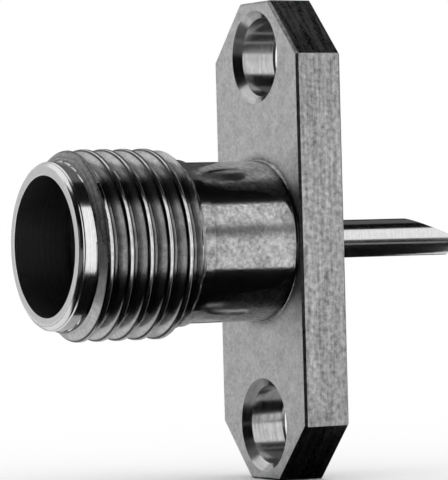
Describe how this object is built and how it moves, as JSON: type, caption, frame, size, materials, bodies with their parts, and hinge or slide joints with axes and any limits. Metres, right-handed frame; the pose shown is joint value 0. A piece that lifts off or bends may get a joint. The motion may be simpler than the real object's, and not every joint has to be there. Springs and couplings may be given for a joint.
{
  "type": "two-hole flange coaxial jack",
  "caption": "Flange-mount coaxial jack: a threaded coupling barrel and its flange in one piece, with an insulated centre contact that ends in a solder cup.",
  "frame": {"origin": "centre of the flange's mounting face, midway between its two screw holes", "axes": "-Y out of the mouth along the connector's axis, +Y along the solder tail, Z along the flange's length, X across its width"},
  "size_m": [0.0062, 0.0151, 0.0158],
  "materials": {
    "body_metal": "turned and milled, bright on the barrel and satin on the flange",
    "insulator": "machined dark fluoropolymer, matt",
    "contact_metal": "turned and plated, bright"
  },
  "bodies": {
    "root": {"connector_body": "body_metal", "front_insulator": "insulator", "rear_insulator": "insulator", "centre_contact": "contact_metal"}
  },
  "joints": []
}
